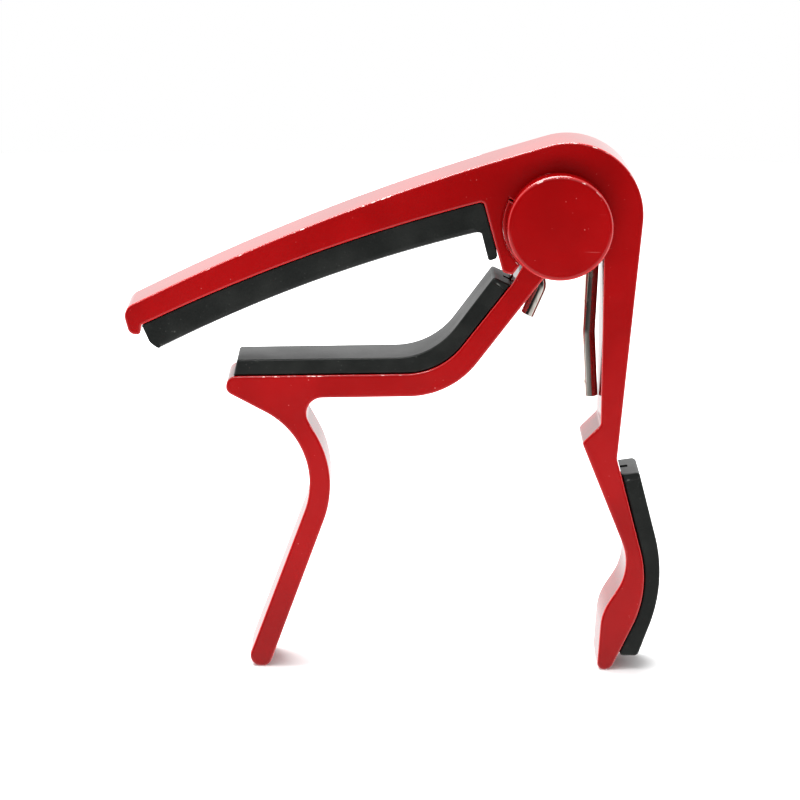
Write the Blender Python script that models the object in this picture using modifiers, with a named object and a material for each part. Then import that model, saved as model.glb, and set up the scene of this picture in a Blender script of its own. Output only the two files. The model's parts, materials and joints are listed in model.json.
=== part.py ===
"""Spring-clamp guitar capo, standing on the ends of its two handles.

X runs along the string bar towards the hub, Y away from the viewer and Z up. Outlines are drawn in
millimetres from the pivot axis, in the plane square to it, and each piece has its origin on that axis.
"""

import math

import bmesh
import bpy

MM = 0.001

# Overall
ARM_WIDTH = 12.4
PIVOT_X = 26.78
PIVOT_Z = 76.2
ARC_STEP = 7.0  # degrees between the points of an arc of the hub's size
TURNED_STEPS = 40

# Hub
HUB_RADIUS = 8.0
SOCKET_RADIUS = 8.3
SOCKET_START = -25.4  # where the socket meets the handle, in degrees
HOOK_RADIUS = 9.3
POCKET_RADIUS = 9.6
STOP_ANGLE = 152.5  # shoulder of the frame that the hook rests on
HOOK_START = 154.3
HOOK_END = 230.0
POCKET_END = 227.0
NECK_BACK_ANGLE = 259.2  # where the neck's back meets the hub
EYE_BORE_RADIUS = 4.85
EYE_RECESS_RADIUS = 8.35
EYE_FACE = 5.75  # outer face of each eye, from the middle plane
COIL_SLOT_RADIUS = 8.05
COIL_SLOT_HALF = 4.15

# Caps, pin, sleeve and washers
CAP_RADIUS = 8.75
CAP_FACE = 10.2
CAP_BACK = 6.35
CAP_EDGE = 0.75
BOSS_RADIUS = 4.7
BOSS_END = 4.35
PIN_BORE_RADIUS = 2.75
PIN_BORE_END = 8.35
PIN_RADIUS = 2.6
PIN_HALF = 8.2
PIN_CHAMFER = 0.3
SLEEVE_HALF = 4.2
WASHER_BORE_RADIUS = 4.9
WASHER_RADIUS = 7.8
WASHER_INNER_FACE = 5.85
WASHER_OUTER_FACE = 6.25

# Torsion spring
WIRE_RADIUS = 1.1
COIL_RADIUS = 6.35
COIL_HALF = 2.95  # each leg lies this far from the middle plane
FRAME_LEG_ANGLE = -2.0  # where each leg leaves the coil, in degrees
NECK_LEG_ANGLE = 198.0
WHOLE_TURNS = 2
COIL_STEP = 18.0
FRAME_LEG = [(6.4, -30.6, 0.0), (5.7, -19.5, 9.0)]
NECK_LEG = [(-2.77, -10.6, 2.2), (-4.9, -15.65, 0.0)]
LEG_CLEARANCE = 0.3

# Rubber pads and the T-shaped keys that hold them in the castings
STRING_PAD_WIDTH = 11.7
NECK_PAD_WIDTH = 11.7
GRIP_WIDTH = 11.0
PAD_GAP = 0.1
KEY_NECK_HALF = 1.4
KEY_HEAD_HALF = 2.5
KEY_HEAD_START = 0.75
KEY_HEAD_DEPTH = 1.45
KEY_CLEARANCE = 0.12
KEY_ROOT = 0.6  # how far a key reaches back into its pad
KEY_SHORTER = 1.2  # how far a key stops short of its pad's ends
SLOT_OPEN = 0.4  # how far a slot cuts out through the seat

# Corners of the outlines: (x, z, fillet radius)
STRING_SEAT = [(-68.95, -17.66, 0.3), (-41.1, -4.15, 304.0), (-12.55, 3.71, 0.7)]
TONGUE_FOOT = (-10.0, -5.3, 0.0)
TONGUE_TIP = [(-9.2, -8.1, 1.0), (-7.5, -8.45, 0.5)]
STRING_BAR_NOSE = [
    (-69.15, -19.3, 0.45),
    (-70.95, -19.3, 1.3),
    (-72.15, -15.0, 1.5),
    (-37.45, 2.31, 380.0),
]
HUB_CORNER = (15.31, 18.43, 12.23)
GRIP_SEAT = [(10.55, -39.6, 1.5), (16.75, -62.2, 19.0), (10.31, -PIVOT_Z, 1.65)]
HANDLE_INSIDE = [
    (8.0, -PIVOT_Z, 1.15),
    (8.54, -66.26, 9.0),
    (13.52, -58.29, 9.0),
    (4.6, -36.85, 0.8),
    (7.63, -33.75, 1.0),
]
NECK_SEAT = [(-7.55, -9.95, 1.5), (-19.2, -25.3, 12.0), (-54.65, -26.2, 1.0)]
NECK_BAR_NOSE = (-55.05, -28.75, 0.9)
LEFT_HANDLE = [
    (-37.62, -37.8, 13.8),
    (-51.45, -PIVOT_Z, 1.8),
    (-47.45, -PIVOT_Z, 1.6),
    (-35.72, -43.2, 17.5),
    (-43.35, -29.8, 2.7),
    (-17.35, -29.1, 14.5),
]
STRING_PAD_UNDERSIDE = [
    (-10.3, -5.85, 0.3),
    (-11.55, -6.3, 0.3),
    (-12.85, -1.45, 0.4),
    (-40.35, -8.46, 240.0),
    (-66.1, -21.75, 0.8),
    (-67.6, -20.65, 1.5),
]
NECK_PAD_SEAT = [(-53.65, -26.17, 0.0), (-19.2, -25.3, 12.0), (-7.8, -10.28, 0.0)]
NECK_PAD_TOP = [(-10.63, -8.95, 0.5), (-20.53, -22.55, 12.5), (-53.05, -23.42, 0.5)]
NECK_SLOT_END = (-7.19, -9.47, 0.0)
GRIP_PAD_SEAT = [(11.27, -42.25, 0.0), (16.75, -62.2, 19.0), (11.67, -73.2, 0.0)]
GRIP_OUTSIDE = [
    (12.15, -73.9, 0.3),
    (14.9, -73.9, 0.9),
    (19.53, -60.9, 26.0),
    (14.35, -41.8, 0.8),
    (11.65, -42.2, 0.2),
]
GRIP_SLOT_START = (10.45, -39.2, 0.0)

FINISHES = {
    "red_paint": ((0.45, 0.004, 0.008, 1.0), 0.25, 0.0),
    "black_rubber": ((0.014, 0.015, 0.015, 1.0), 0.6, 0.0),
    "spring_steel": ((0.56, 0.55, 0.52, 1.0), 0.25, 1.0),
    "nylon": ((0.72, 0.70, 0.64, 1.0), 0.45, 0.0),
}


def clear_scene():
    for old in list(bpy.data.objects):
        bpy.data.objects.remove(old, do_unlink=True)


def new_collection(name, hidden=False):
    made = bpy.data.collections.new(name)
    made.hide_render = hidden
    bpy.context.scene.collection.children.link(made)
    return made


def new_empty(name, collection, parent=None):
    """An empty on the pivot axis, which the pieces of one body hang from."""
    empty = bpy.data.objects.new(name, None)
    empty.empty_display_size = 0.01
    empty.parent = parent
    if parent is None:
        empty.location = (PIVOT_X * MM, 0.0, PIVOT_Z * MM)
    collection.objects.link(empty)
    return empty


def paint(piece, finish):
    """Gives a piece a material of its own in one of the finishes."""
    colour, roughness, metallic = FINISHES[finish]
    material = bpy.data.materials.new(piece.name)
    material.use_nodes = True
    material.diffuse_color = colour
    shader = material.node_tree.nodes["Principled BSDF"]
    shader.inputs["Base Color"].default_value = colour
    shader.inputs["Roughness"].default_value = roughness
    shader.inputs["Metallic"].default_value = metallic
    piece.data.materials.clear()
    piece.data.materials.append(material)


# Outlines


def arc_steps(turn, radius):
    """How many straight runs stand for an arc: each is shorter in angle the larger the radius."""
    step = ARC_STEP * math.sqrt(HUB_RADIUS / radius)
    return max(2, math.ceil(abs(turn) / min(step, 30.0)))


def fillet(before, here, after):
    """The arc that rounds the corner at here to its radius."""
    x, z, radius = here
    heading_in = math.atan2(z - before[1], x - before[0])
    heading_out = math.atan2(after[1] - z, after[0] - x)
    turn = math.remainder(heading_out - heading_in, 2 * math.pi)
    if radius == 0:
        return [(x, z)]
    setback = radius * math.tan(abs(turn) / 2)
    side = math.copysign(math.pi / 2, turn)
    centre_x = x - setback * math.cos(heading_in) + radius * math.cos(heading_in + side)
    centre_z = z - setback * math.sin(heading_in) + radius * math.sin(heading_in + side)
    steps = arc_steps(math.degrees(turn), radius)
    angles = [heading_in - side + turn * i / steps for i in range(steps + 1)]
    return [(centre_x + radius * math.cos(a), centre_z + radius * math.sin(a)) for a in angles]


def path(corners):
    """An open run of points through corners, where each corner but the end ones is rounded."""
    points = [corners[0][:2]]
    for before, here, after in zip(corners, corners[1:], corners[2:]):
        points += fillet(before, here, after)
    return points + [corners[-1][:2]]


def arc(radius, start, stop):
    """Points about the pivot axis from one angle to another, in degrees."""
    steps = arc_steps(stop - start, radius)
    angles = [math.radians(start + (stop - start) * i / steps) for i in range(steps + 1)]
    return [(radius * math.cos(a), radius * math.sin(a)) for a in angles]


def offset(points, distance):
    """An open run of points moved to the left of its direction."""
    moved = []
    for i, here in enumerate(points):
        before = points[i - 1] if i > 0 else None
        after = points[i + 1] if i + 1 < len(points) else None
        first, last = before or here, after or here
        enter = math.atan2(here[1] - first[1], here[0] - first[0]) if before else None
        leave = math.atan2(last[1] - here[1], last[0] - here[0]) if after else enter
        enter = leave if enter is None else enter
        half = math.remainder(leave - enter, 2 * math.pi) / 2
        normal = enter + half + math.pi / 2
        reach = distance / math.cos(half)
        moved.append((here[0] + reach * math.cos(normal), here[1] + reach * math.sin(normal)))
    return moved


def band(points, low, high):
    """The closed strip between two offsets of an open run of points."""
    return offset(points, low) + offset(points, high)[::-1]


def shortened(points, length):
    """An open run of points with a length taken off its start."""
    rest = list(points)
    while len(rest) > 2 and math.dist(rest[0], rest[1]) <= length:
        length -= math.dist(rest[0], rest[1])
        rest.pop(0)
    share = length / math.dist(rest[0], rest[1])
    start = [a + (b - a) * share for a, b in zip(rest[0], rest[1])]
    return [tuple(start)] + rest[1:]


def shortened_both(points, length):
    return shortened(shortened(points, length)[::-1], length)[::-1]


def halfway(points):
    """The same run through the middles of its pieces, so that its corners miss those of the seat."""
    middles = [((a[0] + b[0]) / 2, (a[1] + b[1]) / 2) for a, b in zip(points, points[1:])]
    return [points[0], *middles, points[-1]]


# Solids


def to_mesh(drawn):
    """Replaces a curve object with the mesh of its shape, with the caps welded on."""
    bpy.context.view_layer.update()
    graph = bpy.context.evaluated_depsgraph_get()
    mesh = bpy.data.meshes.new_from_object(drawn.evaluated_get(graph))
    work = bmesh.new()
    work.from_mesh(mesh)
    bmesh.ops.remove_doubles(work, verts=work.verts, dist=0.002 * MM)
    bmesh.ops.recalc_face_normals(work, faces=work.faces)
    work.to_mesh(mesh)
    work.free()
    name = drawn.name
    drawn.name = name + "_curve"
    made = bpy.data.objects.new(name, mesh)
    made.parent = drawn.parent
    drawn.users_collection[0].objects.link(made)
    made.matrix_world = drawn.matrix_world.copy()
    bpy.data.objects.remove(drawn, do_unlink=True)
    return made


def plate(name, points, front, back, parent, collection):
    """A flat outline in the plane square to the pivot axis, as thick as from front to back."""
    curve = bpy.data.curves.new(name, "CURVE")
    curve.dimensions = "2D"
    curve.fill_mode = "BOTH"
    curve.extrude = (back - front) / 2 * MM
    spline = curve.splines.new("POLY")
    spline.points.add(len(points) - 1)
    for point, (x, z) in zip(spline.points, points):
        point.co = (x * MM, z * MM, 0.0, 1.0)
    spline.use_cyclic_u = True
    drawn = bpy.data.objects.new(name, curve)
    drawn.parent = parent
    drawn.rotation_euler = (math.pi / 2, 0.0, 0.0)
    drawn.location = (0.0, (front + back) / 2 * MM, 0.0)
    collection.objects.link(drawn)
    return to_mesh(drawn)


def turned(name, profile, parent, collection):
    """A piece turned about the pivot axis. Its profile is (radius, y), outer side from back to front."""
    mesh = bpy.data.meshes.new(name)
    work = bmesh.new()
    corners = [work.verts.new((radius * MM, 0.0, y * MM)) for radius, y in profile]
    ring = corners + corners[:1] if profile[0][0] > 0 else corners
    for a, b in zip(ring, ring[1:]):
        work.edges.new((a, b))
    work.to_mesh(mesh)
    work.free()
    piece = bpy.data.objects.new(name, mesh)
    piece.parent = parent
    piece.rotation_euler = (-math.pi / 2, 0.0, 0.0)
    collection.objects.link(piece)
    screw = piece.modifiers.new("turn", "SCREW")
    screw.axis = "Z"
    screw.steps = screw.render_steps = TURNED_STEPS
    screw.use_merge_vertices = True
    screw.merge_threshold = 0.001 * MM
    screw.use_smooth_shade = True
    return piece


def helper(piece):
    piece.hide_render = True
    piece.display_type = "WIRE"
    return piece


def cut(piece, tool, operation="DIFFERENCE"):
    step = piece.modifiers.new(tool.name, "BOOLEAN")
    step.operation = operation
    step.object = tool
    step.solver = "EXACT"


def t_bar(name, run, section, parent, collection):
    """A T-shaped section carried along an open run. The section is (distance to the left, y) points."""
    outline = bpy.data.curves.new(name + "_section", "CURVE")
    outline.dimensions = "2D"
    corners = outline.splines.new("POLY")
    corners.points.add(len(section) - 1)
    for point, (side, y) in zip(corners.points, section):
        point.co = (-side * MM, y * MM, 0.0, 1.0)
    corners.use_cyclic_u = True
    shape = helper(bpy.data.objects.new(name + "_section", outline))
    collection.objects.link(shape)
    curve = bpy.data.curves.new(name, "CURVE")
    curve.dimensions = "2D"
    curve.bevel_mode = "OBJECT"
    curve.bevel_object = shape
    curve.use_fill_caps = True
    spline = curve.splines.new("POLY")
    spline.points.add(len(run) - 1)
    for point, (x, z) in zip(spline.points, run):
        point.co = (x * MM, z * MM, 0.0, 1.0)
    drawn = bpy.data.objects.new(name, curve)
    drawn.parent = parent
    drawn.rotation_euler = (math.pi / 2, 0.0, 0.0)
    collection.objects.link(drawn)
    made = helper(to_mesh(drawn))
    bpy.data.objects.remove(shape, do_unlink=True)
    return made


def t_section(into, root, spare):
    """The section of a pad's key, or of its slot where spare is the clearance all round."""
    neck = KEY_NECK_HALF + spare
    head = KEY_HEAD_HALF + spare
    start = KEY_HEAD_START - spare
    depth = KEY_HEAD_DEPTH + spare
    half = [(-root, neck), (start, neck), (start, head), (depth, head)]
    corners = half + [(side, -y) for side, y in half[::-1]]
    return [(into * side, y) for side, y in corners]


def add_key(pad, seat, into, cutters):
    """Joins a key to the back of a pad. Into is the side of the seat that the casting is on."""
    run = halfway(shortened_both(seat, KEY_SHORTER))
    section = t_section(into, KEY_ROOT, 0.0)
    cut(pad, t_bar(pad.name + "_key", run, section, pad.parent, cutters), "UNION")


def cut_key_slot(casting, name, seat, into, cutters):
    """Cuts the slot that a pad's key slides into."""
    section = t_section(into, SLOT_OPEN, KEY_CLEARANCE)
    cut(casting, t_bar(name, halfway(seat), section, casting.parent, cutters))


# Pieces


def make_string_arm(parent, parts, cutters):
    """The frame: string bar, hub housing, tongue and right-hand handle in one casting."""
    pocket = arc(POCKET_RADIUS, STOP_ANGLE, POCKET_END)
    socket = arc(SOCKET_RADIUS, SOCKET_START, STOP_ANGLE)
    around = [
        (*pocket[-1], 0.0),
        *TONGUE_TIP[::-1],
        *STRING_SEAT[::-1],
        *STRING_BAR_NOSE,
        HUB_CORNER,
        *GRIP_SEAT,
        *HANDLE_INSIDE,
        (*socket[0], 0.0),
    ]
    outline = path(around) + socket[1:] + pocket[:-1]
    arm = plate("string_arm", outline, -ARM_WIDTH / 2, ARM_WIDTH / 2, parent, parts)
    bar_seat = path([STRING_SEAT[0], STRING_SEAT[1], STRING_SEAT[2]])
    cut_key_slot(arm, "string_bar_slot", shortened_both(bar_seat, 2 * KEY_SHORTER), 1, cutters)
    grip_seat = path([GRIP_SLOT_START, *GRIP_PAD_SEAT[1:]])
    cut_key_slot(arm, "handle_slot", grip_seat, -1, cutters)
    return arm


def make_neck_arm(parent, parts, cutters):
    """The jaw: neck bar, left-hand handle, and the hub with its two eyes and stop hook."""
    hub = arc(HUB_RADIUS, NECK_BACK_ANGLE - 360, HOOK_START)
    hook = arc(HOOK_RADIUS, HOOK_START, HOOK_END)
    around = [(*hook[-1], 0.0), *NECK_SEAT, NECK_BAR_NOSE, *LEFT_HANDLE, (*hub[0], 0.0)]
    outline = path(around) + hub[1:] + hook[:-1]
    arm = plate("neck_arm", outline, -ARM_WIDTH / 2, ARM_WIDTH / 2, parent, parts)
    clear = ARM_WIDTH / 2 + 1.0
    hub_tool = [
        (0.0, clear),
        (EYE_RECESS_RADIUS, clear),
        (EYE_RECESS_RADIUS, EYE_FACE),
        (EYE_BORE_RADIUS, EYE_FACE),
        (EYE_BORE_RADIUS, COIL_SLOT_HALF),
        (COIL_SLOT_RADIUS, COIL_SLOT_HALF),
        (COIL_SLOT_RADIUS, -COIL_SLOT_HALF),
        (EYE_BORE_RADIUS, -COIL_SLOT_HALF),
        (EYE_BORE_RADIUS, -EYE_FACE),
        (EYE_RECESS_RADIUS, -EYE_FACE),
        (EYE_RECESS_RADIUS, -clear),
        (0.0, -clear),
    ]
    cut(arm, helper(turned("hub_tool", hub_tool, parent, cutters)))
    reach = WIRE_RADIUS + LEG_CLEARANCE
    relief = band(neck_leg_points(), -reach, reach)
    tool = plate("leg_relief", relief, -COIL_SLOT_HALF, -COIL_HALF + reach, parent, cutters)
    cut(arm, helper(tool))
    slot_seat = path([NECK_PAD_SEAT[0], NECK_PAD_SEAT[1], NECK_SLOT_END])
    cut_key_slot(arm, "neck_bar_slot", slot_seat, -1, cutters)
    return arm


def make_string_pad(parent, parts, cutters):
    """The L-shaped pad that presses the strings, arched like a fingerboard."""
    seat = path([STRING_SEAT[0], *STRING_SEAT[1:], TONGUE_FOOT])
    back = offset(seat, -PAD_GAP)
    face = path([(*back[-1], 0.0), *STRING_PAD_UNDERSIDE, (*back[0], 0.0)])
    half = STRING_PAD_WIDTH / 2
    pad = plate("string_pad", back + face[1:-1], -half, half, parent, parts)
    bar_seat = path([STRING_SEAT[0], STRING_SEAT[1], STRING_SEAT[2]])
    add_key(pad, shortened_both(bar_seat, 2 * KEY_SHORTER), 1, cutters)
    return pad


def make_neck_pad(parent, parts, cutters):
    """The pad that bears on the back of the guitar's neck."""
    seat = path(NECK_PAD_SEAT)
    back = offset(seat, PAD_GAP)
    face = path([(*back[-1], 0.0), *NECK_PAD_TOP, (*back[0], 0.0)])
    half = NECK_PAD_WIDTH / 2
    pad = plate("neck_pad", back + face[1:-1], -half, half, parent, parts)
    add_key(pad, seat, -1, cutters)
    return pad


def make_palm_grip(parent, parts, cutters):
    """The crowned pad on the outer face of the right-hand handle."""
    seat = path(GRIP_PAD_SEAT)
    back = offset(seat, PAD_GAP)
    face = path([(*back[-1], 0.0), *GRIP_OUTSIDE, (*back[0], 0.0)])
    half = GRIP_WIDTH / 2
    grip = plate("palm_grip", back + face[1:-1], -half, half, parent, parts)
    add_key(grip, seat, -1, cutters)
    return grip


def make_cap(name, side, parent, parts):
    """A cap with a rounded edge and a hollow boss. Side is -1 for the front and 1 for the back."""
    edge = []
    for i in range(5):
        angle = math.radians(90.0 * i / 4)
        radius = CAP_RADIUS - CAP_EDGE * (1 - math.cos(angle))
        edge.append((radius, CAP_FACE - CAP_EDGE * (1 - math.sin(angle))))
    profile = [
        (0.0, PIN_BORE_END),
        (PIN_BORE_RADIUS, PIN_BORE_END),
        (PIN_BORE_RADIUS, BOSS_END),
        (BOSS_RADIUS, BOSS_END),
        (BOSS_RADIUS, CAP_BACK),
        (CAP_RADIUS, CAP_BACK),
        *edge,
        (0.0, CAP_FACE),
    ]
    profile = [(radius, side * y) for radius, y in profile]
    return turned(name, profile[:: -side], parent, parts)


def make_ring(name, bore, radius, front, back, parent, parts):
    return turned(name, [(radius, back), (radius, front), (bore, front), (bore, back)], parent, parts)


def make_pin(parent, parts):
    """The steel pin, pressed into both caps."""
    narrow = PIN_RADIUS - PIN_CHAMFER
    shoulder = PIN_HALF - PIN_CHAMFER
    profile = [
        (0.0, PIN_HALF),
        (narrow, PIN_HALF),
        (PIN_RADIUS, shoulder),
        (PIN_RADIUS, -shoulder),
        (narrow, -PIN_HALF),
        (0.0, -PIN_HALF),
    ]
    return turned("pivot_pin", profile, parent, parts)


def coil_point(degrees):
    angle = math.radians(degrees)
    return (COIL_RADIUS * math.cos(angle), COIL_RADIUS * math.sin(angle))


def neck_leg_points():
    return path([(*coil_point(NECK_LEG_ANGLE), 0.0), *NECK_LEG])


def make_spring(parent, parts):
    """Round wire: up the frame's leg, round the coil from back to front, and down the neck's leg."""
    frame_leg = path([*FRAME_LEG, (*coil_point(FRAME_LEG_ANGLE), 0.0)])
    total = NECK_LEG_ANGLE - FRAME_LEG_ANGLE + 360.0 * WHOLE_TURNS
    steps = math.ceil(total / COIL_STEP)
    points = [(x, COIL_HALF, z) for x, z in frame_leg]
    for i in range(1, steps):
        x, z = coil_point(FRAME_LEG_ANGLE + total * i / steps)
        points.append((x, COIL_HALF * (1 - 2 * i / steps), z))
    points += [(x, -COIL_HALF, z) for x, z in neck_leg_points()]
    curve = bpy.data.curves.new("torsion_spring", "CURVE")
    curve.dimensions = "3D"
    curve.bevel_depth = WIRE_RADIUS * MM
    curve.bevel_resolution = 2
    curve.use_fill_caps = True
    spline = curve.splines.new("POLY")
    spline.points.add(len(points) - 1)
    for point, place in zip(spline.points, points):
        point.co = (*(value * MM for value in place), 1.0)
    wire = bpy.data.objects.new("torsion_spring", curve)
    wire.parent = parent
    parts.objects.link(wire)
    return wire


def main():
    clear_scene()
    parts = new_collection("guitar_capo")
    cutters = new_collection("cutters", hidden=True)
    frame_axis = new_empty("frame_axis", parts)
    neck_axis = new_empty("neck_axis", parts, frame_axis)

    paint(make_string_arm(frame_axis, parts, cutters), "red_paint")
    paint(make_string_pad(frame_axis, parts, cutters), "black_rubber")
    paint(make_palm_grip(frame_axis, parts, cutters), "black_rubber")
    paint(make_cap("front_hub_cap", -1, frame_axis, parts), "red_paint")
    paint(make_cap("rear_hub_cap", 1, frame_axis, parts), "red_paint")
    paint(make_pin(frame_axis, parts), "spring_steel")
    sleeve = (PIN_BORE_RADIUS, BOSS_RADIUS, -SLEEVE_HALF, SLEEVE_HALF)
    paint(make_ring("spring_sleeve", *sleeve, frame_axis, parts), "nylon")
    for name, front, back in (
        ("front_thrust_washer", -WASHER_OUTER_FACE, -WASHER_INNER_FACE),
        ("rear_thrust_washer", WASHER_INNER_FACE, WASHER_OUTER_FACE),
    ):
        washer = make_ring(name, WASHER_BORE_RADIUS, WASHER_RADIUS, front, back, frame_axis, parts)
        paint(washer, "nylon")
    paint(make_spring(frame_axis, parts), "spring_steel")

    paint(make_neck_arm(neck_axis, parts, cutters), "red_paint")
    paint(make_neck_pad(neck_axis, parts, cutters), "black_rubber")
    bpy.context.view_layer.update()


main()
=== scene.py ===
import json
import math

import bmesh
import bpy
from mathutils import Matrix, Vector


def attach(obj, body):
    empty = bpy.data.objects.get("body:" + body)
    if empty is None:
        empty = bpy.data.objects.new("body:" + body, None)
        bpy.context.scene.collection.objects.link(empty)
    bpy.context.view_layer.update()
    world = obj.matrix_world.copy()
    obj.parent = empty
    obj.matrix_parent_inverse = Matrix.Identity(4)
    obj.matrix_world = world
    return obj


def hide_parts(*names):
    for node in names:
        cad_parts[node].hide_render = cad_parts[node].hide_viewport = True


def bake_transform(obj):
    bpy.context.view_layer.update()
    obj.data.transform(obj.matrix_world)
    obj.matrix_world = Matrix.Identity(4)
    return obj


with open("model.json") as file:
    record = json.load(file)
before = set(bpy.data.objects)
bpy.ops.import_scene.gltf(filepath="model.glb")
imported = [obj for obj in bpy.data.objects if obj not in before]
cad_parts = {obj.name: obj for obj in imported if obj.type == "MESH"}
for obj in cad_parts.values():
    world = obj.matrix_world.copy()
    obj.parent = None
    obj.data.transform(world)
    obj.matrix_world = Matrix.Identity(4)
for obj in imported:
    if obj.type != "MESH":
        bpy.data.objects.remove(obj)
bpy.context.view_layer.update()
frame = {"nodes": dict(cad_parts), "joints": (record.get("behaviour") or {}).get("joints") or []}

mm = 0.001
pivot = Vector(frame["joints"][0]["pos_m"])  # every outline is in mm from this axis
print("frame loaded, hinge at", [round(value, 5) for value in pivot])


# Camera, light and floor

view = {
    "target": (0.00088, -0.0062, 0.04639),
    "distance": 0.5746,
    "lookDown": 12.34,   # degrees
    "lookRight": 0.2,
    "tilt": 0.72,
    "lens": 155.3,
}


def addCamera():
    lens = bpy.data.cameras.new("camera")
    lens.lens = view["lens"]
    lens.sensor_width = 36.0
    lens.clip_start = 0.05
    turn = Matrix.Rotation(math.radians(-view["lookRight"]), 4, "Z")
    turn @= Matrix.Rotation(math.radians(90.0 - view["lookDown"]), 4, "X")
    turn @= Matrix.Rotation(math.radians(view["tilt"]), 4, "Z")
    camera = bpy.data.objects.new("camera", lens)
    back = turn.to_3x3() @ Vector((0.0, 0.0, view["distance"]))
    camera.matrix_world = Matrix.Translation(Vector(view["target"]) + back) @ turn
    bpy.context.scene.collection.objects.link(camera)
    bpy.context.scene.camera = camera


light = {
    "backdrop": 1.2,      # how bright the room is behind, at the sides and above
    "front": 0.02,        # the dark side, where the camera stands
    "nearFloor": 0.95,    # what the floor sends up into the gloss
    "sides": 1.0,         # what the sides add to the backdrop
    "diffuse": 0.64,      # what the room sends to matt surfaces
    "floorTone": 0.92,
}


class Sock:
    # a shader socket that takes part in sums, each of which becomes a Math node
    def __init__(self, paint, out):
        self.paint = paint
        self.out = out

    def maths(self, operation, *others):
        inputs = dict(enumerate((self, *others)))
        return self.paint.node("ShaderNodeMath", {"operation": operation}, inputs)

    def __add__(self, other):
        return self.maths("ADD", other)

    def __sub__(self, other):
        return self.maths("SUBTRACT", other)

    def __rsub__(self, other):
        return self.paint.node("ShaderNodeMath", {"operation": "SUBTRACT"}, {0: other, 1: self})

    def __mul__(self, other):
        return self.maths("MULTIPLY", other)

    def __neg__(self):
        return self.maths("MULTIPLY", -1.0)

    __radd__ = __add__
    __rmul__ = __mul__

    def size(self):
        return self.maths("ABSOLUTE")

    def ramp(self, low, high):
        # 0 at low, 1 at high, eased between
        settings = {"interpolation_type": "SMOOTHSTEP"}
        inputs = {"Value": self, "From Min": low, "From Max": high}
        return self.paint.node("ShaderNodeMapRange", settings, inputs)

    def band(self, outer, places):
        # 1 between two ramps whose ends lie at these depths in mm, counted inwards from outer
        first, second, third, fourth = [(outer - depth) * mm for depth in places]
        return self.ramp(first, second) * (1.0 - self.ramp(third, fourth))


class Paint:
    # the nodes of one material or world
    def __init__(self, owner):
        owner.use_nodes = True
        self.owner = owner
        self.tree = owner.node_tree

    def node(self, kind, settings=None, inputs=None, output=0):
        made = self.tree.nodes.new(kind)
        for key, value in (settings or {}).items():
            setattr(made, key, value)
        for key, value in (inputs or {}).items():
            self.feed(made.inputs[key], value)
        return Sock(self, made.outputs[output])

    def feed(self, socket, value):
        if isinstance(value, Sock):
            self.tree.links.new(value.out, socket)
        else:
            socket.default_value = value

    def mix(self, first, second, share):
        # two colours
        settings = {"data_type": "RGBA", "clamp_factor": True}
        return self.node("ShaderNodeMix", settings, {0: share, 6: first, 7: second}, output=2)

    def parts(self, vector):
        split = self.node("ShaderNodeSeparateXYZ", None, {0: vector}).out.node
        return [Sock(self, socket) for socket in split.outputs]


def addWorld():
    world = bpy.data.worlds.new("studio")
    bpy.context.scene.world = world
    paint = Paint(world)
    direction = paint.node("ShaderNodeTexCoord", output="Generated")
    x, y, z = paint.parts(direction)
    toFront = (-y).ramp(-0.1, 0.55)
    below = (-z).ramp(0.14, 0.42)
    above = z.ramp(0.35, 0.75)
    frontLight = light["front"] + below * light["nearFloor"] + above * light["backdrop"]
    rearLight = light["backdrop"] + x.size().ramp(0.45, 0.85) * light["sides"]
    gloss = toFront * frontLight + (1.0 - toFront) * rearLight
    ray = paint.node("ShaderNodeLightPath").out.node
    isGloss = Sock(paint, ray.outputs["Is Glossy Ray"])
    isCamera = Sock(paint, ray.outputs["Is Camera Ray"])
    seen = isGloss * gloss + (1.0 - isGloss) * light["diffuse"]
    strength = isCamera * 1.0 + (1.0 - isCamera) * seen
    world.cycles.sampling_method = "NONE"  # the gloss must not be lit by the diffuse glow
    background = paint.tree.nodes["Background"]
    background.inputs["Color"].default_value = (1.0, 1.0, 1.0, 1.0)
    paint.feed(background.inputs["Strength"], strength)


lamps = [
    {"name": "topSoftbox", "place": (-0.12, 0.20, 0.75), "size": (0.7, 0.5), "power": 15.6},
    {"name": "topStrip", "place": (-0.10, -0.16, 0.80), "size": (0.60, 0.035), "power": 2.3},
    {"name": "floorBounce", "place": (0.0, -0.1, 0.006), "size": (0.30, 0.05), "power": 0.18},
]


def addLamps():
    aim = Vector(view["target"])
    for spec in lamps:
        lamp = bpy.data.lights.new(spec["name"], "AREA")
        lamp.shape = "RECTANGLE"
        lamp.size, lamp.size_y = spec["size"]
        lamp.energy = spec["power"]
        holder = bpy.data.objects.new(spec["name"], lamp)
        holder.location = spec["place"]
        holder.rotation_euler = (aim - holder.location).to_track_quat("-Z", "Y").to_euler()
        holder.visible_glossy = spec["name"] != "floorBounce"
        bpy.context.scene.collection.objects.link(holder)


def addFloor():
    bm = bmesh.new()
    bmesh.ops.create_circle(bm, cap_ends=True, segments=96, radius=0.6)
    mesh = bpy.data.meshes.new("floor")
    bm.to_mesh(mesh)
    bm.free()
    floor = bpy.data.objects.new("floor", mesh)
    bpy.context.scene.collection.objects.link(floor)
    material = bpy.data.materials.new("floorPaper")
    paint = Paint(material)
    paper = paint.tree.nodes["Principled BSDF"]
    paper.inputs["Base Color"].default_value = (light["floorTone"],) * 3 + (1.0,)
    paper.inputs["Roughness"].default_value = 0.8
    paper.inputs["Specular IOR Level"].default_value = 0.1
    mesh.materials.append(material)
    floor.visible_glossy = False  # the studio's own glow stands for it in the gloss


scene = bpy.context.scene
scene.view_settings.view_transform = "Standard"
scene.view_settings.look = "None"
addCamera()
addWorld()
addLamps()
addFloor()
print("camera, light and floor are up")


# Finishes

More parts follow.
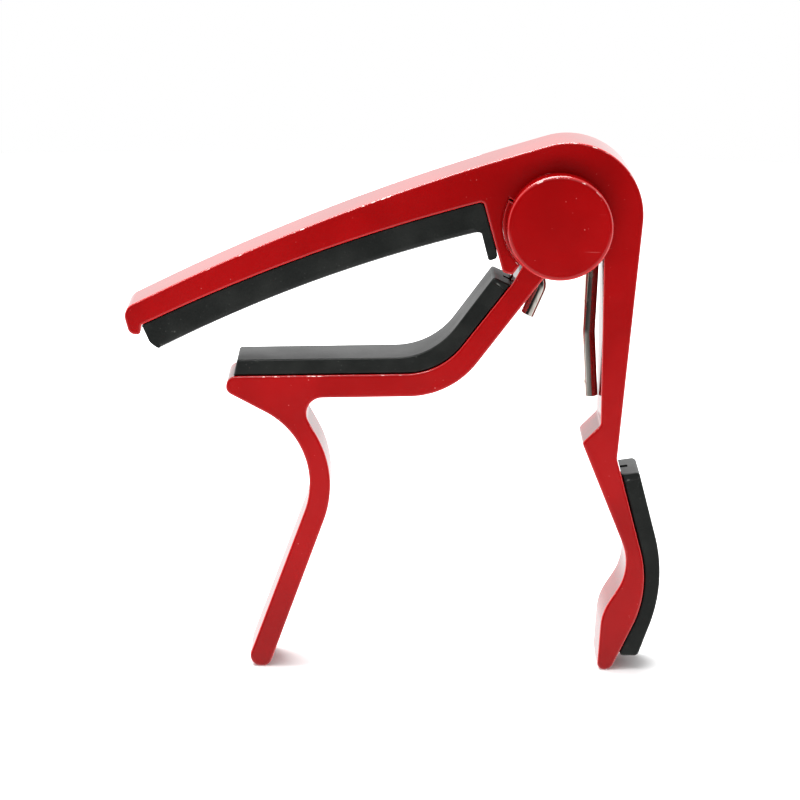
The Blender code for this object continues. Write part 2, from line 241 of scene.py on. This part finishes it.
def newPaint(name):
    material = bpy.data.materials.new(name)
    paint = Paint(material)
    paint.skin = paint.tree.nodes["Principled BSDF"]
    paint.place = paint.node("ShaderNodeTexCoord", output="Object")
    return paint


def noise(paint, scale, detail=2.0, where=None, roughness=0.5):
    inputs = {"Vector": where or paint.place, "Scale": scale, "Detail": detail, "Roughness": roughness}
    return paint.node("ShaderNodeTexNoise", None, inputs)


def specks(paint, scale, radius, share):
    # round specks: one in each cell of the pattern, kept in a share of the cells
    inputs = {"Vector": paint.place, "Scale": scale, "Randomness": 1.0}
    cells = paint.node("ShaderNodeTexVoronoi", {"feature": "F1"}, inputs)
    chance = paint.parts(Sock(paint, cells.out.node.outputs["Color"]))[0]
    kept = chance.maths("LESS_THAN", share)
    return (1.0 - cells.ramp(radius * 0.6, radius)) * kept


def bump(paint, height, depth):
    inputs = {"Height": height, "Distance": depth * mm, "Strength": 1.0}
    return paint.node("ShaderNodeBump", None, inputs)


enamel = {
    "red": (0.240, 0.0012, 0.0018, 1.0),
    "deepRed": (0.196, 0.0008, 0.0012, 1.0),
    "paintedRimHighlight": (0.62, 0.020, 0.022, 1.0),   # a lighter red painted over the rounded rims as their highlight
    "dust": (0.62, 0.13, 0.12, 1.0),
    "chipAndGlint": (0.90, 0.66, 0.62, 1.0),     # near white: where it is chipped, and painted glints where the top light catches the rims' front edges
    "roughness": 0.07,
    "rimBand": (0.55, 0.30, 0.20, 0.06),   # mm in from the outer face
    "chipGlintBand": (0.20, 0.15, 0.09, 0.04),
    "peelDepth": 0.006,
}


def redEnamel(name, half, hairlines=0.0, rimHighlightShare=0.75):
    # half is how far out the piece's face lies in mm, so that the rim, where its highlight is painted, is
    # found from y alone
    paint = newPaint(name)
    y = paint.parts(paint.place)[1]
    cloud = noise(paint, 55.0, 3.0)
    colour = paint.mix(enamel["deepRed"], enamel["red"], cloud.ramp(0.35, 0.62))
    motes = specks(paint, 620.0, 0.085, 0.16) + specks(paint, 1500.0, 0.12, 0.10) * 0.6
    rim = y.size().band(half, enamel["rimBand"])
    # the near-white dashes are kept to rims that face up: chips, and painted glints of the light from above
    skyward = paint.parts(paint.node("ShaderNodeTexCoord", output="Normal"))[2].ramp(0.25, 0.6)
    chipsAndGlints = noise(paint, 900.0, 4.0).ramp(0.56, 0.63) * noise(paint, 80.0).ramp(0.43, 0.55)
    chipsAndGlints = chipsAndGlints * y.size().band(half, enamel["chipGlintBand"]) * skyward
    # painted highlight: a lighter red over the rounded rims, all round the piece
    colour = paint.mix(colour, enamel["paintedRimHighlight"], rim * rimHighlightShare)
    colour = paint.mix(colour, enamel["dust"], motes * 0.55)
    # chips, and painted glints, along the up-facing front edges of the rims
    colour = paint.mix(colour, enamel["chipAndGlint"], chipsAndGlints)
    roughness = enamel["roughness"] + noise(paint, 240.0, 2.0) * 0.05 + motes * 0.3 + chipsAndGlints * 0.2
    if hairlines:
        inputs = {"Vector": paint.place, "Rotation": (0.0, 0.6, 0.0), "Scale": (1.0, 1.0, 26.0)}
        stretched = paint.node("ShaderNodeMapping", None, inputs)
        lines = noise(paint, 130.0, 4.0, stretched).ramp(0.70, 0.76) * noise(paint, 160.0).ramp(0.5, 0.6)
        colour = paint.mix(colour, enamel["dust"], lines * hairlines)
        roughness = roughness + lines * 0.2
    runs = noise(paint, 420.0, 3.0) * rim * 3.0
    peel = noise(paint, 700.0, 2.0) + motes * 0.5 + runs
    paint.feed(paint.skin.inputs["Base Color"], colour)
    paint.feed(paint.skin.inputs["Roughness"], roughness)
    paint.feed(paint.skin.inputs["Normal"], bump(paint, peel, enamel["peelDepth"]))
    paint.skin.inputs["IOR"].default_value = 1.5
    return paint.owner


rubber = {
    "black": (0.0042, 0.0054, 0.0046, 1.0),
    "faded": (0.0080, 0.0094, 0.0082, 1.0),
    "dust": (0.110, 0.115, 0.105, 1.0),
    "roughness": 0.30,
    "grainDepth": 0.025,
}


def blackRubber(name, scored=None):
    # scored is a place and a direction: the moulding line across the pad there
    paint = newPaint(name)
    cloud = noise(paint, 170.0, 4.0)
    wiped = noise(paint, 60.0, 4.0).ramp(0.3, 0.7)
    colour = paint.mix(rubber["black"], rubber["faded"], cloud.ramp(0.38, 0.68))
    motes = specks(paint, 900.0, 0.13, 0.22) + specks(paint, 2100.0, 0.20, 0.25) * 0.6
    colour = paint.mix(colour, rubber["dust"], motes * noise(paint, 120.0).ramp(0.35, 0.6) * 0.6)
    grain = noise(paint, 3200.0, 3.0, roughness=0.65)
    if scored:
        place, along = scored
        settings, inputs = {"operation": "SUBTRACT"}, {0: paint.place, 1: tuple(place)}
        apart = paint.node("ShaderNodeVectorMath", settings, inputs)
        settings, inputs = {"operation": "DOT_PRODUCT"}, {0: apart, 1: tuple(along)}
        away = paint.node("ShaderNodeVectorMath", settings, inputs, output=1).size()
        line = 1.0 - away.ramp(0.04 * mm, 0.12 * mm)
        flecks = (1.0 - away.ramp(0.10 * mm, 0.40 * mm)) * noise(paint, 1500.0, 3.0).ramp(0.58, 0.66)
        colour = paint.mix(colour, rubber["dust"], flecks * 0.8)
        colour = paint.mix(colour, rubber["black"], line)
        grain = grain - line * 4.0
    roughness = rubber["roughness"] + cloud * 0.15 + wiped * 0.12 + motes * 0.15
    paint.feed(paint.skin.inputs["Base Color"], colour)
    paint.feed(paint.skin.inputs["Roughness"], roughness)
    paint.feed(paint.skin.inputs["Normal"], bump(paint, grain + motes * 0.4, rubber["grainDepth"]))
    paint.skin.inputs["Specular IOR Level"].default_value = 0.32
    return paint.owner


steel = {
    "bright": (0.66, 0.63, 0.58, 1.0),
    "dull": (0.50, 0.46, 0.41, 1.0),
    "stain": (0.20, 0.13, 0.09, 1.0),
    "drawnDepth": 0.002,
}


def springSteel(name):
    paint = newPaint(name)
    drawn = paint.node("ShaderNodeMapping", None, {"Vector": paint.place, "Scale": (1.0, 1.0, 0.08)})
    streak = noise(paint, 2600.0, 3.0, drawn)
    stain = noise(paint, 420.0, 4.0).ramp(0.58, 0.72)
    colour = paint.mix(steel["bright"], steel["dull"], streak.ramp(0.35, 0.7))
    colour = paint.mix(colour, steel["stain"], stain * 0.5)
    paint.feed(paint.skin.inputs["Base Color"], colour)
    paint.feed(paint.skin.inputs["Roughness"], 0.07 + streak * 0.06 + stain * 0.2)
    paint.feed(paint.skin.inputs["Normal"], bump(paint, streak, steel["drawnDepth"]))
    paint.skin.inputs["Metallic"].default_value = 1.0
    return paint.owner


nylon = {
    "white": (0.74, 0.72, 0.66, 1.0),
    "yellowed": (0.62, 0.59, 0.52, 1.0),
    "grainDepth": 0.006,
}


def whiteNylon(name):
    paint = newPaint(name)
    cloud = noise(paint, 300.0, 3.0)
    colour = paint.mix(nylon["white"], nylon["yellowed"], cloud.ramp(0.4, 0.7))
    paint.feed(paint.skin.inputs["Base Color"], colour)
    paint.feed(paint.skin.inputs["Roughness"], 0.38 + cloud * 0.15)
    paint.feed(paint.skin.inputs["Normal"], bump(paint, noise(paint, 2400.0), nylon["grainDepth"]))
    return paint.owner


print("finishes are mixed")


# Shaping

def at(x, z, y=0.0):
    return Vector((pivot.x + x * mm, y * mm, pivot.z + z * mm))


def around(radius, degrees):
    angle = math.radians(degrees)
    return (radius * math.cos(angle), radius * math.sin(angle))


def cornerTurn(before, here, after):
    # where a rounded corner's arc starts, its centre, and how far it turns
    x, z, radius = here
    enter = math.atan2(z - before[1], x - before[0])
    leave = math.atan2(after[1] - z, after[0] - x)
    turn = math.remainder(leave - enter, 2.0 * math.pi)
    setback = radius * math.tan(abs(turn) / 2.0)
    start = (x - setback * math.cos(enter), z - setback * math.sin(enter))
    side = enter + math.copysign(math.pi / 2.0, turn)
    centre = (start[0] + radius * math.cos(side), start[1] + radius * math.sin(side))
    return start, centre, turn


def arcSteps(turn, radius, finest=0.8):
    # steps of 10 degrees at most, with longer chords on a flatter arc, and none shorter than finest
    chord = max(finest, math.sqrt(0.02 * radius))
    return max(2, math.ceil(abs(turn) / min(math.radians(10.0), chord / radius)))


def onlyVerts(geometry):
    return [item for item in geometry if isinstance(item, bmesh.types.BMVert)]


def onlyEdges(geometry):
    return [item for item in geometry if isinstance(item, bmesh.types.BMEdge)]


def endOf(item):
    return around(item[1], item[3]) if item[0] == "arc" else item[:2]


def startOf(item):
    return around(item[1], item[2]) if item[0] == "arc" else item[:2]


def drawOutline(bm, items):
    # a closed run of edges. A corner is (x, z, radius), and ("arc", radius, from, to) turns about the hinge
    first = last = None
    for index, item in enumerate(items):
        before, after = items[index - 1], items[(index + 1) % len(items)]
        if item[0] == "arc":
            start, centre = startOf(item), (0.0, 0.0)
            turn, radius = math.radians(item[3] - item[2]), item[1]
        elif item[2] == 0.0:
            start, turn = item[:2], 0.0
        else:
            start, centre, turn = cornerTurn(endOf(before), item, startOf(after))
            radius = item[2]
        if last is None:
            first = last = bm.verts.new(at(*start))
        else:
            last = onlyVerts(bmesh.ops.extrude_vert_indiv(bm, verts=[last])["verts"])[0]
            last.co = at(*start)
        if turn:
            spun = bmesh.ops.spin(bm, geom=[last], cent=at(*centre), axis=(0.0, -1.0, 0.0),
                                  angle=turn, steps=arcSteps(turn, radius), dvec=(0.0, 0.0, 0.0))
            last = onlyVerts(spun["geom_last"])[0]
    bm.edges.new((last, first))


def plate(bm, items, half):
    # an outline filled and extruded across, from -half to half
    drawOutline(bm, items)
    bmesh.ops.translate(bm, verts=bm.verts, vec=(0.0, -half * mm, 0.0))
    bmesh.ops.contextual_create(bm, geom=list(bm.edges))
    grown = bmesh.ops.extrude_face_region(bm, geom=list(bm.faces))["geom"]
    bmesh.ops.translate(bm, verts=onlyVerts(grown), vec=(0.0, 2.0 * half * mm, 0.0))
    bmesh.ops.recalc_face_normals(bm, faces=bm.faces)


def rimEdges(bm, half, chosen=None):
    # the edges where the walls meet the two faces; chosen looks at the wall beside each
    found = []
    for edge in bm.edges:
        outer = all(abs(abs(vert.co.y) - half * mm) < 0.001 * mm for vert in edge.verts)
        walls = [face for face in edge.link_faces if abs(face.normal.y) < 0.9]
        if outer and len(walls) == 1 and (chosen is None or chosen(walls[0])):
            found.append(edge)
    return found


def roundOff(bm, edges, radius, segments=4):
    bmesh.ops.bevel(bm, geom=edges, offset=radius * mm, offset_type="OFFSET", affect="EDGES",
                    segments=segments, profile=0.5, material=-1, clamp_overlap=False)


def moved(corners, side):
    # the same rounded run, moved to the left of its direction
    legs = zip(corners, corners[1:])
    headings = [math.atan2(after[1] - before[1], after[0] - before[0]) for before, after in legs]
    out = []
    for (x, z, radius), enter, leave in zip(corners, headings[:1] + headings, headings + headings[-1:]):
        turn = math.remainder(leave - enter, 2.0 * math.pi)
        reach = side / math.cos(turn / 2.0)
        way = enter + (turn + math.pi) / 2.0
        grown = radius - math.copysign(side, turn) if turn and radius else radius
        out.append((x + reach * math.cos(way), z + reach * math.sin(way), max(grown, 0.0)))
    return out


def trimmed(corners, length):
    # the same run with a length taken off each end, and its bend eased so that it still fits
    out = [(x, z, radius * 0.9) for x, z, radius in corners]
    for end, inner in ((0, 1), (-1, -2)):
        (x, z), (towardX, towardZ) = corners[end][:2], corners[inner][:2]
        share = length / math.hypot(towardX - x, towardZ - z)
        out[end] = (x + (towardX - x) * share, z + (towardZ - z) * share, 0.0)
    return out


def turnedRing(bm, profile, steps=96):
    # a closed or axis-to-axis profile of (radius, y), turned about the hinge
    verts = [bm.verts.new(at(radius, 0.0, y)) for radius, y in profile]
    ends = verts + verts[:1] if profile[0][0] > 0.0 else verts
    edges = [bm.edges.new(pair) for pair in zip(ends, ends[1:])]
    bmesh.ops.spin(bm, geom=verts + edges, cent=at(0.0, 0.0), axis=(0.0, 1.0, 0.0),
                   angle=2.0 * math.pi, steps=steps, use_merge=True, dvec=(0.0, 0.0, 0.0))
    bmesh.ops.remove_doubles(bm, verts=bm.verts, dist=0.002 * mm)
    bmesh.ops.recalc_face_normals(bm, faces=bm.faces)


def carryStraight(bm, rim, here, place):
    grown = bmesh.ops.extrude_edge_only(bm, edges=rim)["geom"]
    bmesh.ops.translate(bm, verts=onlyVerts(grown), vec=place - here)
    return onlyEdges(grown), place


def carryRound(bm, rim, here, centre, turn, steps, rise=0.0):
    # rise is along y, at each step
    verts = dict.fromkeys(vert for edge in rim for vert in edge.verts)
    spun = bmesh.ops.spin(bm, geom=[*verts, *rim], cent=centre, axis=(0.0, -1.0, 0.0),
                          angle=turn, steps=steps, dvec=(0.0, rise, 0.0))
    place = Matrix.Rotation(turn, 3, (0.0, -1.0, 0.0)) @ (here - centre) + centre
    return onlyEdges(spun["geom_last"]), place + Vector((0.0, rise * steps, 0.0))


def carryAlong(bm, rim, here, corners, y=0.0, steps=None):
    # a closed rim, now at the first corner, draws its walls along the rounded run
    for before, corner, after in zip(corners, corners[1:], corners[2:]):
        place, centre, turn = cornerTurn(before, corner, after)
        rim, here = carryStraight(bm, rim, here, at(*place, y))
        inBend = steps or arcSteps(turn, corner[2], 1.5)
        rim, here = carryRound(bm, rim, here, at(*centre, y), turn, inBend)
    return carryStraight(bm, rim, here, at(*corners[-1][:2], y))


def sweep(bm, section, corners):
    # a closed section carried along a rounded run. The section is (distance to the left, y)
    start, ahead = at(*corners[0][:2]), at(*corners[1][:2])
    left = Vector((0.0, -1.0, 0.0)).cross(ahead - start).normalized()
    ring = [bm.verts.new(start + left * side * mm + Vector((0.0, y * mm, 0.0))) for side, y in section]
    edges = [bm.edges.new(pair) for pair in zip(ring, ring[1:] + ring[:1])]
    bmesh.ops.contextual_create(bm, geom=edges)
    edges, _ = carryAlong(bm, edges, start, corners)
    bmesh.ops.contextual_create(bm, geom=edges)
    bmesh.ops.recalc_face_normals(bm, faces=bm.faces)


def newObject(name, bm):
    mesh = bpy.data.meshes.new(name)
    bm.to_mesh(mesh)
    bm.free()
    made = bpy.data.objects.new(name, mesh)
    bpy.context.scene.collection.objects.link(made)
    return made


def carve(piece, tool, operation="DIFFERENCE", crossing=False):
    # crossing is for a piece whose rounded edges run into each other
    step = piece.modifiers.new(tool.name, "BOOLEAN")
    step.operation = operation
    step.object = tool
    step.solver = "EXACT"
    step.use_self = crossing
    bpy.context.view_layer.update()
    graph = bpy.context.evaluated_depsgraph_get()
    mesh = bpy.data.meshes.new_from_object(piece.evaluated_get(graph))
    piece.modifiers.clear()
    piece.data = mesh
    bpy.data.objects.remove(tool, do_unlink=True)


def finishPiece(piece, material, body, node, sharp=32.0):
    mesh = piece.data
    mesh.materials.clear()
    mesh.materials.append(material)
    mesh.shade_smooth()
    mesh.set_sharp_from_angle(angle=math.radians(sharp))
    # keeps the flats flat beside their rounded rims
    even = piece.modifiers.new("evenNormals", "WEIGHTED_NORMAL")
    even.keep_sharp = True
    even.weight = 90
    if body:
        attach(piece, body)
    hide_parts(node)
    print(piece.name, len(mesh.polygons), "faces")


# Castings

hub = {                   # angles are in degrees
    "radius": 8.0,        # the jaw's hub
    "socket": 8.3,        # the frame's housing round it
    "socketStart": -25.4,
    "hook": 9.3,
    "pocket": 9.36,
    "stop": 152.5,        # the shoulder that the hook rests on
    "hookStart": 154.3,
    "hookEnd": 230.0,
    "pocketEnd": 227.0,
    "neckBack": 259.2,
    "eyeBore": 4.85,
    "eyeRecess": 8.35,
    "eyeFace": 5.75,
    "coilSlot": 8.05,
    "coilSlotHalf": 4.15,
}
casting = {"half": 6.2, "rim": 0.4}
footZ = -pivot.z / mm

stringArm = {
    "seat": [(-68.95, -17.66, 0.3), (-41.1, -4.15, 304.0), (-12.55, 3.71, 0.7)],
    "tongue": [(-9.2, -8.1, 1.0), (-7.5, -8.45, 0.5)],
    "nose": [(-69.15, -19.3, 0.45), (-70.95, -19.3, 1.3), (-72.15, -15.0, 2.3), (-37.45, 2.31, 380.0)],
    "hubCorner": (15.31, 18.43, 12.23),
    "gripSide": [(10.55, -39.6, 1.5), (16.75, -62.2, 19.0), (10.31, footZ, 1.65)],
    "inside": [(8.0, footZ, 1.15), (8.54, -66.26, 9.0), (13.52, -58.29, 9.0), (4.6, -36.85, 0.8),
               (7.63, -33.75, 1.0)],
    "tongueFoot": (-10.0, -5.3, 0.0),
    "slotInset": 2.4,     # from each end of the seat
    "gripSlotStart": (10.45, -39.2, 0.0),
}
neckArm = {
    "seat": [(-7.55, -9.95, 1.5), (-19.2, -25.3, 12.0), (-54.65, -26.2, 1.6)],
    "nose": (-55.05, -28.75, 1.4),
    "handle": [(-37.62, -37.8, 13.8), (-51.45, footZ, 1.8), (-47.45, footZ, 1.6),
               (-35.72, -43.2, 17.5), (-43.35, -29.8, 2.7), (-17.35, -29.1, 14.5)],
    "slotEnd": (-7.19, -9.47, 0.0),
}
keys = {
    "neckHalf": 1.4,
    "headHalf": 2.5,
    "headStart": 0.75,
    "headDepth": 1.45,
    "clearance": 0.12,
    "root": 0.5,          # how far the key starts inside its pad
    "slotOpen": 0.4,      # how far the slot's tool starts outside its casting
}


def tSection(into, root, spare):
    # a key's section, or its slot's where spare is the clearance all round
    neck, head = keys["neckHalf"] + spare, keys["headHalf"] + spare
    start, depth = keys["headStart"] - spare, keys["headDepth"] + spare
    half = [(-root, neck), (start, neck), (start, head), (depth, head)]
    return [(into * side, y) for side, y in half + [(side, -y) for side, y in half[::-1]]]


def cutSlot(piece, name, run, into):
    bm = bmesh.new()
    sweep(bm, tSection(into, keys["slotOpen"], keys["clearance"]), run)
    carve(piece, newObject(name, bm))


def addKey(piece, name, run, into, crossing=False):
    bm = bmesh.new()
    sweep(bm, tSection(into, keys["root"], 0.0), run)
    carve(piece, newObject(name, bm), "UNION", crossing)


def castPlate(name, items):
    bm = bmesh.new()
    plate(bm, items, casting["half"])
    roundOff(bm, rimEdges(bm, casting["half"]), casting["rim"])
    return newObject(name, bm)


def makeStringArm():
    shape = stringArm
    items = [*shape["tongue"][::-1], *shape["seat"][::-1], *shape["nose"], shape["hubCorner"],
             *shape["gripSide"], *shape["inside"],
             ("arc", hub["socket"], hub["socketStart"], hub["stop"]),
             ("arc", hub["pocket"], hub["stop"], hub["pocketEnd"])]
    arm = castPlate("stringArm", items)
    cutSlot(arm, "stringBarSlot", trimmed(shape["seat"], shape["slotInset"]), 1)
    cutSlot(arm, "gripSlot", [shape["gripSlotStart"], *palmGrip["seat"][1:]], -1)
    finishPiece(arm, redEnamel("frameEnamel", casting["half"]), "frame", "string_arm")


def makeNeckArm():
    shape = neckArm
    items = [*shape["seat"], shape["nose"], *shape["handle"],
             ("arc", hub["radius"], hub["neckBack"] - 360.0, hub["hookStart"]),
             ("arc", hub["hook"], hub["hookStart"], hub["hookEnd"])]
    arm = castPlate("neckArm", items)
    clear, slot = casting["half"] + 1.0, hub["coilSlotHalf"]
    profile = [(0.0, clear), (hub["eyeRecess"], clear), (hub["eyeRecess"], hub["eyeFace"]),
               (hub["eyeBore"], hub["eyeFace"]), (hub["eyeBore"], slot), (hub["coilSlot"], slot)]
    profile += [(radius, -y) for radius, y in profile[::-1]]
    bm = bmesh.new()   # the bore, and the slot that the coil lies in
    turnedRing(bm, profile)
    carve(arm, newObject("hubTool", bm))
    reach = spring["wire"] + spring["clearance"]
    low, high = -slot, -spring["half"] + reach
    bm = bmesh.new()   # room for the spring's leg
    sweep(bm, [(-reach, low), (reach, low), (reach, high), (-reach, high)], springLeg("neckLeg"))
    carve(arm, newObject("legRelief", bm))
    cutSlot(arm, "neckBarSlot", [*neckPad["seat"][:2], shape["slotEnd"]], -1)
    finishPiece(arm, redEnamel("jawEnamel", casting["half"]), "jaw", "neck_arm")


# Hub caps, with the pin, sleeve and washers behind them

cap = {
    "radius": 8.75,
    "face": 10.2,
    "back": 6.35,
    "edge": 0.75,     # rounding of the rim
    "backEdge": 0.2,
    "boss": 4.7,
    "bossEnd": 4.35,
    "bore": 2.75,
    "boreEnd": 8.35,
    "edgeSteps": 8,
    "steps": 128,
}


def makeCap(name, side, node):
    radius, face, edge, back = cap["radius"], cap["face"], cap["edge"], cap["back"]
    quarter = [math.radians(90.0 * step / cap["edgeSteps"]) for step in range(cap["edgeSteps"] + 1)]
    corner = [(radius - edge * (1.0 - math.cos(turn)), face - edge * (1.0 - math.sin(turn)))
              for turn in quarter]
    profile = [(0.0, cap["boreEnd"]), (cap["bore"], cap["boreEnd"]), (cap["bore"], cap["bossEnd"]),
               (cap["boss"], cap["bossEnd"]), (cap["boss"], back), (radius - cap["backEdge"], back),
               (radius, back + cap["backEdge"]), *corner, (5.0, face), (0.0, face)]
    bm = bmesh.new()
    turnedRing(bm, [(out, side * y) for out, y in profile], cap["steps"])
    # the caps' rims get a fainter painted highlight
    paint = redEnamel(name + "Enamel", face, hairlines=0.5, rimHighlightShare=0.3)
    finishPiece(newObject(name, bm), paint, "frame", node)


def coverPlainNodes():
    # the CAD's own pin, sleeve and washers stay, with finishes of their own
    finishes = {"pivot_pin": springSteel("pinSteel"), "spring_sleeve": whiteNylon("sleeveNylon"),
                "front_thrust_washer": whiteNylon("frontWasherNylon"),
                "rear_thrust_washer": whiteNylon("rearWasherNylon")}
    for name, material in finishes.items():
        for place in frame["nodes"][name].material_slots:
            place.material = material


# Torsion spring

spring = {
    "wire": 1.15,
    "coil": 6.35,
    "half": 2.95,         # each leg lies this far from the middle plane
    "frameLegAngle": -2.0,
    "neckLegAngle": 198.0,
    "turns": 2,
    "frameLeg": [(6.4, -30.6, 0.0), (5.7, -19.5, 9.0)],
    "neckLeg": [(-2.77, -10.6, 2.2), (-4.9, -15.65, 0.0)],
    "clearance": 0.3,     # round the leg in its casting
    "sides": 20,
    "legBend": 12,        # steps round a leg's bend
    "coilStep": 6.0,      # degrees
    "endEdge": 0.15,
}


def springLeg(which):
    if which == "neckLeg":
        return [(*around(spring["coil"], spring["neckLegAngle"]), 0.0), *spring["neckLeg"]]
    return [*spring["frameLeg"], (*around(spring["coil"], spring["frameLegAngle"]), 0.0)]


def makeSpring():
    half, leg = spring["half"], springLeg("frameLeg")
    start, ahead = at(*leg[0][:2], half), at(*leg[1][:2], half)
    turn = (ahead - start).to_track_quat("Z", "Y").to_matrix().to_4x4()
    bm = bmesh.new()
    bmesh.ops.create_circle(bm, cap_ends=True, segments=spring["sides"], radius=spring["wire"] * mm,
                            matrix=Matrix.Translation(start) @ turn)
    rim, here = carryAlong(bm, list(bm.edges), start, leg, half, spring["legBend"])
    total = spring["neckLegAngle"] - spring["frameLegAngle"] + 360.0 * spring["turns"]
    steps = int(total / spring["coilStep"])
    rise = -2.0 * half * mm / steps
    rim, here = carryRound(bm, rim, here, at(0.0, 0.0, half), math.radians(total), steps, rise)
    rim, here = carryAlong(bm, rim, here, springLeg("neckLeg"), -half, spring["legBend"])
    bmesh.ops.contextual_create(bm, geom=rim)
    bmesh.ops.recalc_face_normals(bm, faces=bm.faces)
    ends = [edge for edge in bm.edges if any(len(face.verts) > 4 for face in edge.link_faces)]
    roundOff(bm, ends, spring["endEdge"], 2)
    made = newObject("torsionSpring", bm)
    finishPiece(made, springSteel("springWire"), None, "torsion_spring", sharp=50.0)
    first, last = at(0.0, 0.0, 3.0), at(0.0, 0.0, -3.0)  # two points on the hinge axis, 3 mm to either side; nothing uses them
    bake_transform(made)


# Rubber pads

stringPad = {
    "half": 5.85,
    "gap": 0.1,
    "underside": [(-10.3, -5.85, 0.45), (-11.55, -6.3, 0.45), (-12.85, -1.45, 0.4), (-40.35, -8.46, 240.0),
                  (-66.1, -21.75, 0.9), (-67.6, -20.65, 1.5)],
    "chamfer": 1.0,       # along the underside
    "chamferFrom": -13.4,  # the leg beside the hub has none
    "edge": 0.22,         # rounding of every other edge
    "keyInset": 3.6,
}
neckPad = {
    "half": 5.85,
    "seat": [(-53.65, -26.17, 0.0), (-19.2, -25.3, 12.0), (-7.8, -10.28, 0.0)],
    "outside": [(-10.63, -8.95, 0.5), (-20.53, -22.55, 12.5), (-53.05, -23.42, 0.5)],
    "notch": (-8.15, -10.55),
    "scoredAt": (-9.8, -10.4),
    "scoredAlong": (0.588, 0.0, 0.809),
}
palmGrip = {
    "half": 5.5,
    "seat": [(11.27, -42.25, 0.0), (16.75, -62.2, 19.0), (11.67, -73.2, 0.0)],
    "outside": [(12.15, -73.9, 0.45), (14.9, -73.9, 0.9), (19.53, -60.9, 26.0), (14.35, -41.8, 0.8),
                (11.65, -42.2, 0.3)],
    "notch": (11.6, -42.2),
    "scoredAt": (13.3, -43.2),
    "scoredAlong": (-0.265, 0.0, 0.964),
}
seatedPad = {
    "edge": 0.4,
    "keyInset": 1.2,
    "notchSize": (1.5, 2.2, 1.4),
    "notchEdge": 0.15,
}


def makeStringPad():
    shape = stringPad
    back = moved([*stringArm["seat"], stringArm["tongueFoot"]], -shape["gap"])
    bm = bmesh.new()
    plate(bm, back + shape["underside"], shape["half"])

    def underneath(wall):
        place = (wall.calc_center_median().x - pivot.x) / mm
        return wall.normal.z < -0.5 and wall.normal.x > 0.1 and place < shape["chamferFrom"]

    roundOff(bm, rimEdges(bm, shape["half"], underneath), shape["chamfer"], 2)
    rest = [edge for edge in rimEdges(bm, shape["half"]) if edge.calc_face_angle(0.0) > 0.9]
    roundOff(bm, rest, shape["edge"], 3)
    pad = newObject("stringPad", bm)
    addKey(pad, "stringPadKey", trimmed(stringArm["seat"], shape["keyInset"]), 1, crossing=True)
    finishPiece(pad, blackRubber("stringPadRubber"), "frame", "string_pad")


def notchEnd(pad, place, along):
    # the sprue's notch in the middle of the pad's end, against the casting
    turn = along.to_track_quat("Z", "Y").to_matrix().to_4x4()
    sides = Matrix.Diagonal([side * mm for side in seatedPad["notchSize"]] + [1.0])
    bm = bmesh.new()
    bmesh.ops.create_cube(bm, size=1.0, matrix=Matrix.Translation(place) @ turn @ sides)
    roundOff(bm, list(bm.edges), seatedPad["notchEdge"], 2)
    carve(pad, newObject("notch", bm))


def makeSeatedPad(name, shape, body, node):
    # a pad that lies on its casting from end to end
    bm = bmesh.new()
    plate(bm, moved(shape["seat"], stringPad["gap"]) + shape["outside"], shape["half"])
    roundOff(bm, rimEdges(bm, shape["half"]), seatedPad["edge"], 3)
    pad = newObject(name, bm)
    addKey(pad, name + "Key", trimmed(shape["seat"], seatedPad["keyInset"]), -1)
    along = Vector(shape["scoredAlong"])
    notchEnd(pad, at(*shape["notch"]), along)
    material = blackRubber(name + "Rubber", (at(*shape["scoredAt"]), along))
    finishPiece(pad, material, body, node)


makeStringArm()
makeNeckArm()
makeCap("frontCap", -1.0, "front_hub_cap")
makeCap("rearCap", 1.0, "rear_hub_cap")
coverPlainNodes()
makeSpring()
makeStringPad()
makeSeatedPad("neckPad", neckPad, "jaw", "neck_pad")
makeSeatedPad("palmGrip", palmGrip, "frame", "palm_grip")
